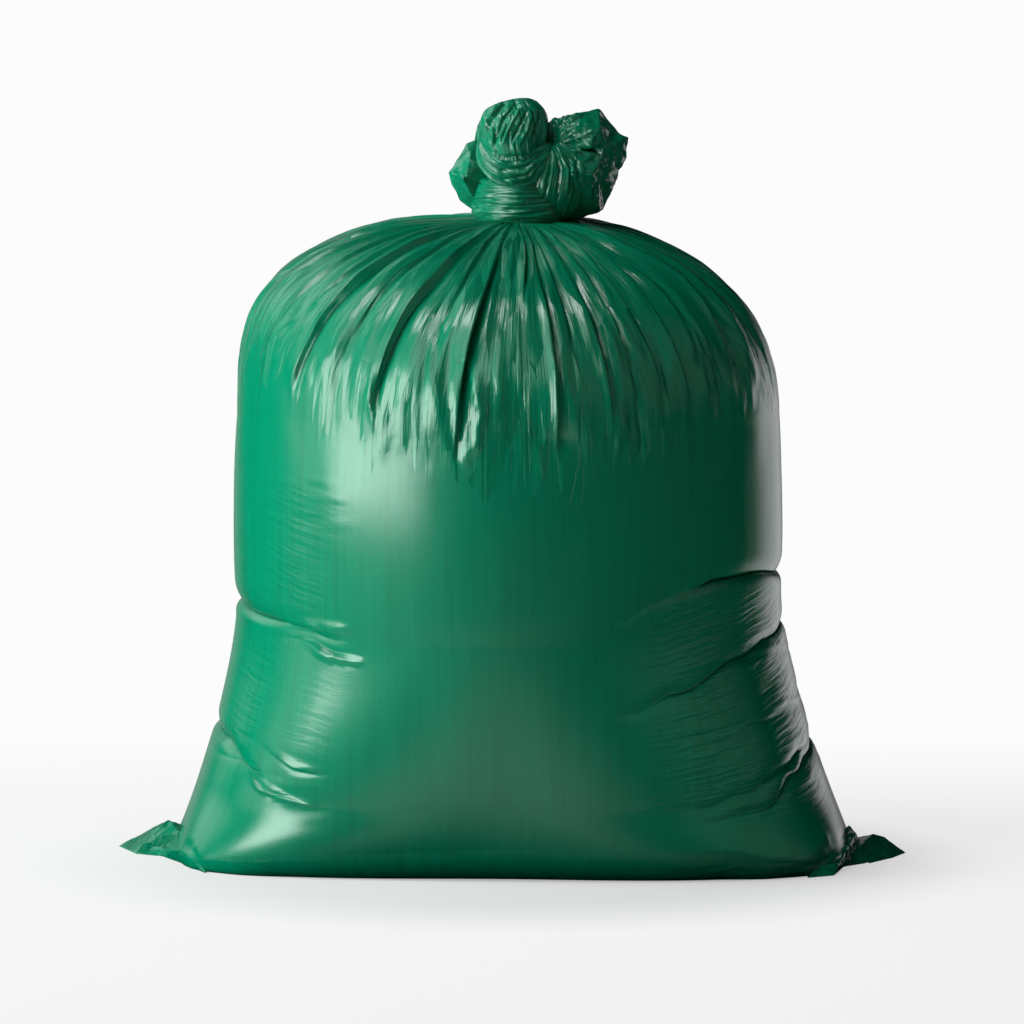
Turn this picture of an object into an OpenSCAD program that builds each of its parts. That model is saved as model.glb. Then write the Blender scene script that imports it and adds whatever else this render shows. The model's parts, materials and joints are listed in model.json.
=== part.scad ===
// Filled refuse sack, tied shut in its own neck and standing on its base.
// Millimetres, Z up, the front towards -Y. The origin is on the floor under the sack's middle.

/* [Film] */
// Width of the sack laid flat, from one side fold to the other
flat_width = 700; // [600:10:800]
// Height of the gathered neck above the floor
neck_height = 520; // [470:1:600]
// Height where the straight wall ends and the shoulders begin to close in
shoulder_height = 366; // [330:1:400]
// How square the shoulders are: 2 is a round dome
shoulder_square = 2.5; // [2.2:0.1:3]
// How much squarer the left shoulder is than the right one
shoulder_slump = 0.4; // [0:0.05:0.5]

/* [Base] */
// How far the base spreads past the wall on the left and on the right
base_spread = 56; // [30:1:70]
// Height that the spread fades out at
spread_height = 205; // [180:5:260]
// How much of that spread the front and the back draw in
base_tuck = 0.8; // [0.5:0.05:1]
// Radius where the wall turns under on to the floor
base_round = 20; // [8:1:24]
// How square the footprint is: 2 is an oval
base_square = 4.4; // [2.4:0.1:5]

/* [Gathers] */
// Number of gathers round the neck
gathers = 24; // [18:2:28]
// Depth of the longest gathers on the shoulder
gather_depth = 13; // [6:0.5:18]
// Height that the longest gathers run down to
gather_foot = 318; // [280:1:340]

/* [Side creases] */
// Height of the low crease on the left side
low_crease_left = 104; // [90:1:115]
// Height of the low crease on the right side
low_crease_right = 94; // [85:1:110]
// Height of the middle crease, which only the right side has
mid_crease_right = 170; // [150:1:185]
// Height of the high crease on the left side
high_crease_left = 206; // [200:1:225]
// Height of the high crease on the right side
high_crease_right = 229; // [215:1:240]
// Depth of the creases
crease_depth = 11; // [4:0.5:16]
// Half of a crease's width
crease_half = 10; // [6:0.5:12]
// How far a crease droops from the side to the front
crease_droop = 16; // [0:1:24]

/* [Corners] */
// Distance from the middle of the sack to each sealed corner's tip
corner_reach = 324; // [300:1:345]
// Height of the fold that stands up along the left corner; the right one lies flatter
corner_ridge = 25; // [16:1:32]
// How far each corner's fold runs along the floor, in front of the middle and behind it
corner_lap = 146; // [110:1:155]
// Thickness of the folded film at a corner's edge
corner_edge = 2; // [1:0.5:3]

/* [Knot] */
// Radius of the gathered neck inside the knot
neck_radius = 27; // [22:1:30]
// Radius of the turn of film that binds the neck
collar_radius = 37; // [34:1:42]
// Height of that turn
collar_height = 38; // [32:1:44]
// Depth of the pleats along the knot's strands
pleat_depth = 2; // [0.5:0.25:3]
// Half of the greatest width of the bight that stands up out of the knot
knob_half = 31; // [27:0.5:34]
// Half of the greatest width of the wrap across the knot's front
wrap_half = 18; // [14:0.5:20]
// Half of the greatest width of the strap on the knot's right
strap_half = 17; // [13:0.5:19]
// Overall height of the knot above the neck
knot_height = 100; // [90:1:112]
// How far the loose tail reaches to the right of the neck
tail_reach = 92; // [80:1:100]
// How far the tucked end reaches to the left of the neck
tuck_reach = 56; // [50:1:64]

/* [Hidden] */
$fn = 32;

film_green = [0.0, 0.42, 0.28];
wall_radius = flat_width / PI;
dome_height = neck_height - shoulder_height;
neck_shift = 4; // the neck stands a little to the right of the middle
wall_shift = -3; // and the wall a little to the left
wall_step = 30; // spacing of the rows on the plain wall
gather_run = 100; // height over which a gather comes to its full depth
dome_rows = 15;
base_rows = 3;
spread_curve = 1.4; // how quickly the spread fades above the floor
gather_steps = [0, 0.18, 0.48, 0.76, 0.91]; // where the columns of one gather stand
gather_rise = [-1, -0.15, 0.4, 0.7, 0.2]; // and how high each of them lies
columns = gathers * len(gather_steps);

// A fixed number from 0 to 1 for each k, different for each seed
function scatter(k, seed) =
    let (s = sin(k * 157.3 + seed * 61.7) * 917.3) s - floor(s);
function ease(t) = let (u = max(0, min(1, t))) u * u * (3 - 2 * u);
function mix(a, b, t) = a + (b - a) * t;
function signed_pow(v, p) = sign(v) * pow(abs(v), p);

// Plan angle of a column, counted from the right-hand side, through the back
function gather_angle(k) = (k + 0.6 * (scatter(k % gathers, 1) - 0.5)) * 360 / gathers;
function column_angle(i) =
    let (k = floor(i / len(gather_steps)), f = gather_steps[i % len(gather_steps)])
    mix(gather_angle(k), gather_angle(k + 1), f);

// The wall below the shoulders
function spread(z) = base_spread * pow(max(0, 1 - z / spread_height), spread_curve);
function plan_square(z) = mix(base_square, 2, ease(z / spread_height));
function wall_point(angle, z, push) =
    let (
        p = 2 / plan_square(z),
        a = wall_radius + spread(z) + push,
        b = wall_radius - base_tuck * spread(z) + push,
        shift = mix(0, wall_shift, ease(z / spread_height))
    )
    [a * signed_pow(cos(angle), p) + shift, b * signed_pow(sin(angle), p), z];

// A crease runs round each side, deepest at the side itself, and droops towards front and back
crease_rows = [
    [low_crease_left, low_crease_right, 1, 0.8],
    [(low_crease_left + high_crease_left) / 2, mid_crease_right, 0, 0.75],
    [high_crease_left, high_crease_right, 1, 0.75],
];
function side_depth(row, angle) =
    crease_depth * (cos(angle) < 0 ? row[2] : row[3]) * pow(abs(cos(angle)), 2.5);
function crease_height(row, angle) =
    mix(row[0], row[1], (1 + cos(angle)) / 2) - crease_droop * (1 - abs(cos(angle)));
function crease_ring(row, side, push, angle) =
    wall_point(
        angle,
        crease_height(row, angle) + side * crease_half,
        push * side_depth(row, angle)
    );

// The shoulders close in from the wall to the neck as a squared dome
function dome_square(angle) = shoulder_square - shoulder_slump * cos(angle);
function dome_point(angle, t) =
    let (
        n = dome_square(angle),
        last = acos(pow(neck_radius / wall_radius, n / 2)),
        r = wall_radius * pow(cos(last * t), 2 / n),
        rise = pow(sin(last * t), 2 / n) / pow(sin(last), 2 / n)
    )
    [r, shoulder_height + dome_height * rise];
function dome_normal(angle, r, z) =
    let (
        n = dome_square(angle),
        out = pow(r / wall_radius, n - 1) / wall_radius,
        up = pow(max(0, z - shoulder_height) / dome_height, n - 1) / dome_height
    )
    [out, up] / norm([out, up]);

// Each gather fades out at a height of its own, and narrows as it nears the neck
function gather_end(k) =
    let (long = k % 3 == 0 ? 1 : k % 3 == 1 ? 0.72 : 0.4)
    mix(shoulder_height + dome_height * 0.7, gather_foot, long * (0.75 + 0.25 * scatter(k, 2)));
function gather_push(i, r, z) =
    let (
        k = floor(i / len(gather_steps)) % gathers,
        foot = gather_end(k),
        pitch = 2 * PI * r / gathers,
        fade = ease((z - foot) / gather_run),
        depth = min(gather_depth * (0.5 + 0.5 * scatter(k, 3)), pitch * 0.42)
    )
    gather_rise[i % len(gather_steps)] * depth * fade;
function dome_ring(t) = [
    for (i = [0:columns - 1])
        let (
            angle = column_angle(i),
            p = dome_point(angle, t),
            n = dome_normal(angle, p[0], p[1]),
            push = gather_push(i, p[0], p[1]),
            shift = mix(wall_shift, neck_shift, ease(t))
        )
        [(p[0] + n[0] * push) * cos(angle) + shift, (p[0] + n[0] * push) * sin(angle), p[1] + n[1] * push]
];

// Rings from the floor to the neck: half as many points below the shoulders as on them
half_columns = columns / 2;
half_angles = [for (i = [0:half_columns - 1]) column_angle(2 * i)];
base_rings = [
    for (j = [0:base_rows])
        let (turn = 90 * j / base_rows)
        [for (a = half_angles) wall_point(a, base_round * (1 - cos(turn)), base_round * (sin(turn) - 1))]
];
function plain_ring(z) = [for (a = half_angles) wall_point(a, z, 0)];
function ring_between(low, high, t) =
    [for (a = half_angles) wall_point(a, mix(crease_height(low, a), crease_height(high, a), t), 0)];
crease_rings = [
    for (c = [0:len(crease_rows) - 1])
        let (row = crease_rows[c])
        each concat(
            [[for (a = half_angles) crease_ring(row, -1, 0.15, a)]],
            [[for (a = half_angles) crease_ring(row, -0.25, -0.8, a)]],
            [[for (a = half_angles) crease_ring(row, 0, -1, a)]],
            [[for (a = half_angles) crease_ring(row, 0.5, 0.1, a)]],
            [[for (a = half_angles) crease_ring(row, 1.2, 0.35, a)]],
            c < len(crease_rows) - 1 ? [ring_between(row, crease_rows[c + 1], 0.55)] : []
        )
];
wall_rings = concat(
    base_rings,
    [plain_ring(mix(base_round, low_crease_left, 0.3)), plain_ring(mix(base_round, low_crease_left, 0.6))],
    crease_rings,
    [for (z = [high_crease_right + wall_step:wall_step:gather_foot - wall_step / 2]) plain_ring(z)]
);
gather_rings = [
    for (z = [gather_foot:(shoulder_height - gather_foot) / 2:shoulder_height - 1]) [
        for (i = [0:columns - 1])
            wall_point(column_angle(i), z, gather_push(i, wall_radius, z))
    ]
];
dome_rings = [for (j = [0:dome_rows]) dome_ring(j / dome_rows)];
fine_rings = concat(gather_rings, dome_rings);

function flat(lists) = [for (l = lists) each l];
function band(from, n) = [
    for (i = [0:n - 1])
        let (a = from + i, b = from + (i + 1) % n)
        each [[a, a + n, b + n], [a, b + n, b]]
];

module body() {
    wall_count = len(wall_rings) * half_columns;
    top = wall_count + (len(fine_rings) - 1) * columns;
    low = wall_count - half_columns;
    faces = concat(
        [[for (i = [0:half_columns - 1]) i]],
        flat([for (j = [0:len(wall_rings) - 2]) band(j * half_columns, half_columns)]),
        flat([
            for (i = [0:half_columns - 1])
                let (
                    a = low + i,
                    b = low + (i + 1) % half_columns,
                    c = wall_count + 2 * i,
                    d = wall_count + (2 * i + 2) % columns
                )
                [[a, c, c + 1], [a, c + 1, b], [b, c + 1, d]]
        ]),
        flat([for (j = [0:len(fine_rings) - 2]) band(wall_count + j * columns, columns)]),
        [[for (i = [columns - 1:-1:0]) top + i]]
    );
    polyhedron(points = concat(flat(wall_rings), flat(fine_rings)), faces = faces, convexity = 6);
}

// The knot's own frame: its origin is where the neck goes in, and lengths are shares of the knot's sizes
module at_knot() {
    translate([neck_shift, 0, neck_height]) children();
}

// A strand of pleated film swept along a smooth curve, with a half width and a half thickness at each stage
strand_sides = 15;
strand_steps = 10;
function spline_at(list, t) =
    let (
        last = len(list) - 1,
        k = min(last - 1, floor(t * last)),
        u = t * last - k,
        a = list[max(0, k - 1)],
        b = list[k],
        c = list[k + 1],
        d = list[min(last, k + 2)]
    )
    b + 0.5 * u * (c - a + u * (2 * a - 5 * b + 4 * c - d + u * (3 * (b - c) + d - a)));
function unit(v) = v / norm(v);
module strand(path, widths, thicknesses, outward, pleats) {
    rings = [
        for (j = [0:strand_steps])
            let (
                t = j / strand_steps,
                p = spline_at(path, t),
                along = unit(spline_at(path, min(1, t + 0.02)) - spline_at(path, max(0, t - 0.02))),
                out = unit(outward - along * (outward * along)),
                across = cross(out, along),
                w = spline_at(widths, t),
                h = spline_at(thicknesses, t)
            )
            [
                for (i = [0:strand_sides - 1])
                    let (
                        a = 360 * i / strand_sides,
                        ridge = pleat_depth * cos(pleats * a) * min(1, h / 8)
                    )
                    p + across * (w + ridge) * cos(a) + out * (h + ridge) * sin(a)
            ]
    ];
    last = strand_steps * strand_sides;
    faces = concat(
        [[for (i = [0:strand_sides - 1]) i]],
        flat([for (j = [0:strand_steps - 1]) band(j * strand_sides, strand_sides)]),
        [[for (i = [strand_sides - 1:-1:0]) last + i]]
    );
    polyhedron(points = flat(rings), faces = faces, convexity = 4);
}

// The gathered neck, standing up through the turn that binds it
module neck() {
    strand(
        path = [[0, 0, -8], [0, 0, collar_height / 2], [0, -4, knot_height * 0.66]],
        widths = [neck_radius - 3, neck_radius - 3, neck_radius - 9],
        thicknesses = [neck_radius - 3, neck_radius - 3, neck_radius - 9],
        outward = [0, -1, 0],
        pleats = 5
    );
}

// The turn of film round the neck, with the strands that run round it
module collar() {
    strands = 5;
    points = 12;
    thick = collar_radius - neck_radius + 4;
    translate([0, 0, collar_height / 2 - 2])
        rotate([2, 4, 0])
            rotate_extrude($fn = 28)
                polygon(concat(
                    [[neck_radius - 8, -collar_height / 3], [neck_radius - 8, collar_height / 3]],
                    [
                        for (i = [points:-1:0])
                            let (
                                a = 180 * i / points - 90,
                                ridge = pleat_depth * 0.6 * cos(strands * 2 * a),
                                r = collar_radius - thick + (thick + ridge) * pow(cos(a), 0.7)
                            )
                            [r, (collar_height / 2 + ridge * 0.4) * sin(a)]
                    ]
                ));
}

// The strand that comes over the top, down the left and across the front
module loop() {
    strand(
        path = [
            [12, 10, knot_height * 0.9],
            [-8, -4, knot_height * 0.95],
            [-neck_radius * 0.9, -8, knot_height * 0.8],
            [-neck_radius * 1.05, -14, knot_height * 0.6],
            [-neck_radius * 0.7, -neck_radius * 0.95, knot_height * 0.47],
            [0, -neck_radius * 1.12, knot_height * 0.42],
            [neck_radius * 0.7, -neck_radius, knot_height * 0.49],
            [neck_radius * 1.1, -neck_radius * 0.5, knot_height * 0.58]
        ],
        widths = [0.22, 0.39, 0.5, 0.72, 0.94, 1, 0.78, 0.33] * wrap_half,
        thicknesses = [0.17, 0.28, 0.39, 0.5, 0.56, 0.56, 0.44, 0.22] * wrap_half,
        outward = [0, -1, 0.15],
        pleats = 5
    );
}

// The bight of film that stands up out of the loop
module knob() {
    strand(
        path = [
            [2, -6, knot_height * 0.5],
            [2, -8, knot_height * 0.6],
            [2, -5, knot_height * 0.75],
            [3, -3, knot_height * 0.9],
            [3, -2, knot_height]
        ],
        widths = [0.65, 0.9, 1, 0.87, 0.29] * knob_half,
        thicknesses = [0.58, 0.74, 0.84, 0.71, 0.26] * knob_half,
        outward = [0, -1, 0],
        pleats = 5
    );
}

// The strand that comes out of the loop and goes down into the turn on the right
module strap() {
    strand(
        path = [
            [neck_radius * 0.9, -10, knot_height * 0.64],
            [neck_radius * 1.25, -neck_radius * 0.7, knot_height * 0.52],
            [neck_radius * 1.35, -neck_radius * 0.75, knot_height * 0.34],
            [neck_radius * 1.1, -neck_radius * 0.55, knot_height * 0.12]
        ],
        widths = [0.3, 0.82, 1, 0.7] * strap_half,
        thicknesses = [0.3, 0.53, 0.65, 0.47] * strap_half,
        outward = [0.4, -1, 0],
        pleats = 5
    );
}

// Crushed film: each petal is the hull of the few corners that its folds make
module petal(corners, scale_x) {
    hull()
        for (c = corners)
            translate([c[0] * scale_x, c[1], c[2] * knot_height]) sphere(r = 2, $fn = 6);
}

// The loose tail, opened out to the right
tail_petals = [
    [[0.26, -14, 0.6], [0.33, 2, 0.8], [0.43, 6, 0.86], [0.71, 8, 0.88], [0.74, 2, 0.82], [0.88, -2, 0.7],
        [0.62, -22, 0.63], [0.4, 26, 0.66]],
    [[0.4, -18, 0.6], [0.86, -2, 0.71], [0.98, 2, 0.67], [0.97, 4, 0.56], [0.89, -8, 0.38], [0.62, -26, 0.52],
        [0.7, 26, 0.6]],
    [[0.34, -18, 0.54], [0.62, -29, 0.5], [0.88, -6, 0.37], [0.84, 2, 0.27], [0.68, -6, 0.13], [0.52, -8, 0.07],
        [0.38, -10, 0.02], [0.5, 30, 0.3]],
    [[0.2, 10, 0.7], [0.62, 30, 0.62], [0.75, 20, 0.36], [0.3, 34, 0.2], [0.1, 30, 0.45]],
];
module tail() {
    for (corners = tail_petals) petal(corners, tail_reach);
}

// The tucked end, behind the loop on the left
tuck_petals = [
    [[-0.5, -2, 0.63], [-0.78, 3, 0.63], [-0.98, 4, 0.36], [-0.55, -8, 0.34], [-0.6, 28, 0.5]],
    [[-0.98, 4, 0.36], [-0.83, 2, 0.15], [-0.68, 0, 0.09], [-0.5, -10, 0.3], [-0.55, 28, 0.22]],
];
module tuck() {
    for (corners = tuck_petals) petal(corners, tuck_reach);
}

// A sealed corner of the flat sack, folded out along the floor; side is -1 on the left and 1 on the right.
// Each fold is the hull of its points: how far out from the base to the tip, how far along the lap, how high
left_folds = [
    [[1, 0.12, 0], [0.7, -0.2, 0], [0.17, 0, 1], [0.5, 0.28, 0], [0, 0, 0.65]],
    [[0.17, 0, 1], [0.7, -0.2, 0], [0.28, -0.3, 0], [0, 0, 0.65], [-0.08, -0.6, 0], [-0.25, -0.65, 0.45]],
    [[0, 0, 0.65], [-0.08, -0.6, 0], [-0.25, -0.65, 0.45], [-0.47, -1, 0], [-0.8, -0.85, 0.3], [-0.8, -0.2, 0.6]],
    [[0.5, 0.28, 0], [0.17, 0, 1], [0, 0, 0.65], [-0.4, 0.8, 0], [-0.8, 0.6, 0.4]],
];
right_folds = [
    [[1, -0.15, 0], [0.78, -0.35, 0], [0.47, -0.12, 0.61], [0.25, -0.15, 0.4], [0.37, -0.6, 0], [0.4, 0.2, 0]],
    [[0.25, -0.15, 0.4], [0.37, -0.6, 0], [-0.06, -0.77, 0], [-0.1, -0.5, 0.5], [-0.5, 0, 0.3], [0.4, 0.2, 0]],
    [[0.06, -0.05, 0.84], [0.12, -0.3, 0.68], [-0.1, -0.67, 0.64], [-0.5, -0.4, 0.5], [-0.4, 0.8, 0]],
    [[-0.1, -0.67, 0.64], [-0.06, -0.77, 0], [-0.3, -1, 0], [-0.7, -1.05, 0], [-0.8, -0.6, 0.3]],
];
module corner(side, folds) {
    base_reach = wall_radius + spread(corner_ridge / 2);
    for (fold = folds)
        hull()
            for (c = fold)
                translate([
                    side * (mix(base_reach, corner_reach, c[0]) - corner_edge),
                    c[1] * corner_lap,
                    c[2] * corner_ridge
                ])
                    cylinder(r = corner_edge, h = corner_edge, $fn = 6);
}

module filled_sack() {
    color(film_green) {
        body();
        corner(-1, left_folds);
        corner(1, right_folds);
        at_knot() {
            neck();
            collar();
            loop();
            knob();
            strap();
            tail();
            tuck();
        }
    }
}

filled_sack();
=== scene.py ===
import json
import math

import bmesh
import bpy
import numpy as np
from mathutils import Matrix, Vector, noise

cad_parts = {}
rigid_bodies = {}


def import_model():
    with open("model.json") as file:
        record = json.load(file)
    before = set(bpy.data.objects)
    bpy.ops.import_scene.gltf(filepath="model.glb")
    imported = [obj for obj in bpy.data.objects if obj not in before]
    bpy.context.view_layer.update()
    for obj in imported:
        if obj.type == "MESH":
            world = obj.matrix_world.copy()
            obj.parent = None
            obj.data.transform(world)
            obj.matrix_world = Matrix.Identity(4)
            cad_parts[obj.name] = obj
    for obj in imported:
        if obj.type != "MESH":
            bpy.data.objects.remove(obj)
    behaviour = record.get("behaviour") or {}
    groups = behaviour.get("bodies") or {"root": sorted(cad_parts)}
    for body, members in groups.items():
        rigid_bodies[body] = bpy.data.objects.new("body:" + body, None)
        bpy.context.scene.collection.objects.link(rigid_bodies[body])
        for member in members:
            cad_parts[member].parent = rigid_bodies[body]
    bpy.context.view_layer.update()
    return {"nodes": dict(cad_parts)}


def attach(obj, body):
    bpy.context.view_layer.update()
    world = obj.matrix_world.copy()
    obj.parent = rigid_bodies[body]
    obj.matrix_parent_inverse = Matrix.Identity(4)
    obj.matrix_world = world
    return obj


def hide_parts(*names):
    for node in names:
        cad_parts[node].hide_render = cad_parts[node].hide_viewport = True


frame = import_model()
print("frame loaded:", sorted(frame["nodes"]))

mm = 0.001
sackNode = "filled_sack"
seed = 7


studio = {
    "pixel": 0.82,  # millimetres to one pixel of the photograph
    "centre": (511.5, 850),  # where the origin stands in it
    "elevation": 6.5,
    "distance": 12.0,
    "size": 1024,
    "reach": 12.0,  # of the paper floor, each way
    "paper": "dadada",
    "paperBounce": "ffffff",
    "white": "fcfcfc",
    # how much of the floor's white is its own: at the sack, more beside it, and more behind it
    "glow": (0.4, 0.42, 0.2),
    "glowCentre": (0, -0.1, 0),
    "glowBeside": (0.2, 0.42),
    "glowBehind": (0.1, 0.9),
    "footprint": (0.27, 0.18),
    "paintedContactShade": (1.25, 1.9),  # the floor near the sack that the film mirrors and takes its bounce light from as black, a painted contact shadow, in footprints
    "overhead": (-0.45, -0.1, 0.88),
    "overheadFrom": (0.45, 1.0),
    "ambient": (0.014, 0.4),
    "lamps": [
        # name, place, aim, width, height, power, colour, whether it lights and whether it is mirrored
        ("keyBox", (-2.98, -0.3, 0.7), (0, 0, 0.36), 1.6, 1.2, 125, "f4fbff", True, False),
        ("fillBox", (-2.0, -2.0, 0.3), (0, 0, 0.15), 1.6, 1.2, 14, "ffffff", True, False),
        ("topBox", (-0.9, -0.6, 2.1), (0, 0, 0.4), 0.8, 0.8, 20, "ffffff", True, True),
        ("sideBox", (-0.625, -0.545, 0.4), (-0.07, -0.31, 0.37), 0.52, 0.34, 5.2, "ffffff", False, True),
    ],
    # what the film mirrors: direction, from which lean to which it comes in, the heights at which it starts,
    # is full, is still full and ends, and its strength
    "mirroredRoom": [
        ((0.49, 0.848, -0.2), (0.91, 0.99), (-2, -1, 1, 2), 1.0),
        ((-0.17, 0.985, 0.0), (0.93, 1.0), (-2, -1, 1, 2), 0.3),
        ((-0.97, -0.15, 0.15), (0.88, 1.0), (-0.2, 0.1, 1, 2), 0.8),
        ((-0.78, -0.3, 0.55), (0.94, 1.0), (-2, -1, 1, 2), 0.3),
        ((-0.6, 0.6, 0.5), (0.85, 1.0), (-2, -1, 1, 2), 1.3),
        ((-0.5, -0.72, 0.48), (0.8, 1.0), (0.18, 0.4, 1, 2), 2.6),
        ((-0.99, 0.06, -0.07), (0.97, 0.995), (-0.15, -0.08, 0.02, 0.08), 0.8),
        ((0.85, -0.45, 0.28), (0.6, 1.0), (-0.15, 0.25, 1, 2), 0.25),
        ((-0.45, -0.8, -0.4), (0.3, 1.0), (-0.95, -0.7, -0.45, -0.12), 0.85),
    ],
}


def ease(t):
    t = np.clip(t, 0, 1)
    return t * t * (3 - 2 * t)


def mix(a, b, t):
    return a + (b - a) * t


def window(value, start, full, still=None, end=None):  # comes in up to full, and goes out from still to end
    share = ease((value - start) / (full - start))
    return share if end is None else share * ease((end - value) / (end - still))


def noiseAt(points, size, shift=0.0):  # smooth noise from -1 to 1, with cells of this size in mm
    cells = points / np.asarray(size, float) + shift
    return np.array([noise.noise(Vector(p)) for p in cells.tolist()])


def drift(points, size, *shifts):  # three such noises, as a shift of each point in x, y and z
    return np.column_stack([noiseAt(points, size, shift) for shift in shifts])


def folded(points, size, turns, shift=0.0):  # noise folded back and forth into sharp creases, from -1 to 1
    wave = noiseAt(points, size, shift) * turns
    return 4 * np.abs(wave - np.floor(wave + 0.5)) - 1


def facets(points, length, count, rng):  # flat facets that meet in straight creases, from -1 to 1
    total = np.zeros(len(points))
    for _ in range(count):
        way = rng.normal(size=3)
        wave = points @ (way / np.linalg.norm(way)) / (length * rng.uniform(0.7, 1.6)) + rng.uniform()
        total += np.abs(2 * (wave - np.floor(wave + 0.5)))
    return 2 * total / count - 1


def smoothCurve(points, t):  # a Catmull-Rom curve through a few points, t from 0 to 1
    points = np.asarray(points, float)
    last = len(points) - 1
    k = np.minimum(np.floor(t * last).astype(int), last - 1)
    u = (t * last - k)[:, None] if points.ndim > 1 else t * last - k
    a, b = points[np.maximum(k - 1, 0)], points[k]
    c, d = points[k + 1], points[np.minimum(k + 2, last)]
    return b + 0.5 * u * (c - a + u * (2 * a - 5 * b + 4 * c - d + u * (3 * (b - c) + d - a)))


def aroundCurve(knots, angle):  # a closed smooth curve through (angle, value) knots
    knots = sorted(knots)
    at = np.array([k[0] for k in knots], float)
    values = np.array([k[1] for k in knots], float)
    at = np.concatenate([at - 360, at, at + 360])
    values = np.concatenate([values] * 3)
    wrapped = (angle + 180) % 360 - 180
    k = np.clip(np.searchsorted(at, wrapped, side="right") - 1, 1, len(at) - 3)
    share = (wrapped - at[k]) / (at[k + 1] - at[k])
    return mix(values[k], values[k + 1], ease(share))


def meshOf(name, bm):
    mesh = bpy.data.meshes.new(name)
    bm.to_mesh(mesh)
    bm.free()
    return mesh


def shown(name, data):
    made = bpy.data.objects.new(name, data)
    bpy.context.scene.collection.objects.link(made)
    return made


def numbersOf(group, field, count, kind=float):
    values = np.zeros(len(group) * count, kind)
    group.foreach_get(field, values)
    return values.reshape(-1, count) if count > 1 else values


def spunGrid(name, columns, rows, place, isRound=False):
    # a line spun into a tube, whose points are then moved to where place says
    bm = bmesh.new()
    line = [bm.verts.new((1, 0, row)) for row in range(rows)]
    edges = [bm.edges.new(pair) for pair in zip(line, line[1:])]
    bmesh.ops.spin(
        bm, geom=line + edges, cent=(0, 0, 0), axis=(0, 0, 1), angle=2 * math.pi,
        steps=columns, use_merge=True, use_duplicate=False,
    )
    bmesh.ops.holes_fill(bm, edges=[e for e in bm.edges if e.is_boundary], sides=0)

    def order(spot):  # row by row, and round each row: the spin leaves no order that stays the same
        return spot.z * columns + math.atan2(spot.y, spot.x) / (2 * math.pi) * columns % columns

    bm.verts.sort(key=lambda v: order(v.co))
    bm.edges.sort(key=lambda e: order(e.verts[0].co + e.verts[1].co))
    bm.faces.sort(key=lambda f: order(f.calc_center_median()) if len(f.verts) == 4 else f.verts[0].co.z - 1)
    mesh = meshOf(name, bm)
    flat = numbersOf(mesh.vertices, "co", 3)
    column = np.round(np.arctan2(flat[:, 1], flat[:, 0]) / (2 * math.pi) * columns).astype(int) % columns
    row = np.round(flat[:, 2]).astype(int)
    points, girth, along = place(column, row)
    mesh.vertices.foreach_set("co", (points * mm).ravel())

    # the film's own map, in metres: round the tube, then along it
    corner = numbersOf(mesh.loops, "vertex_index", 1, int)
    starts = np.array([p.loop_start for p in mesh.polygons])
    sizes = np.array([p.loop_total for p in mesh.polygons])
    face = np.repeat(np.arange(len(starts)), sizes)
    turned = column[corner] / columns
    widest = np.maximum.reduceat(turned, starts)[face]
    turned = np.where((widest - turned > 0.5) & (sizes[face] == 4), turned + 1, turned)
    both = [turned * girth, along[corner]]
    uv = mesh.uv_layers.new(name="film")
    uv.data.foreach_set("uv", np.column_stack(both[::-1] if isRound else both).ravel() * mm)

    bm = bmesh.new()
    bm.from_mesh(mesh)
    if bm.calc_volume(signed=True) < 0:
        bmesh.ops.reverse_faces(bm, faces=bm.faces[:])
    bm.to_mesh(mesh)
    bm.free()
    mesh.shade_smooth()
    return shown(name, mesh)


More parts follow.
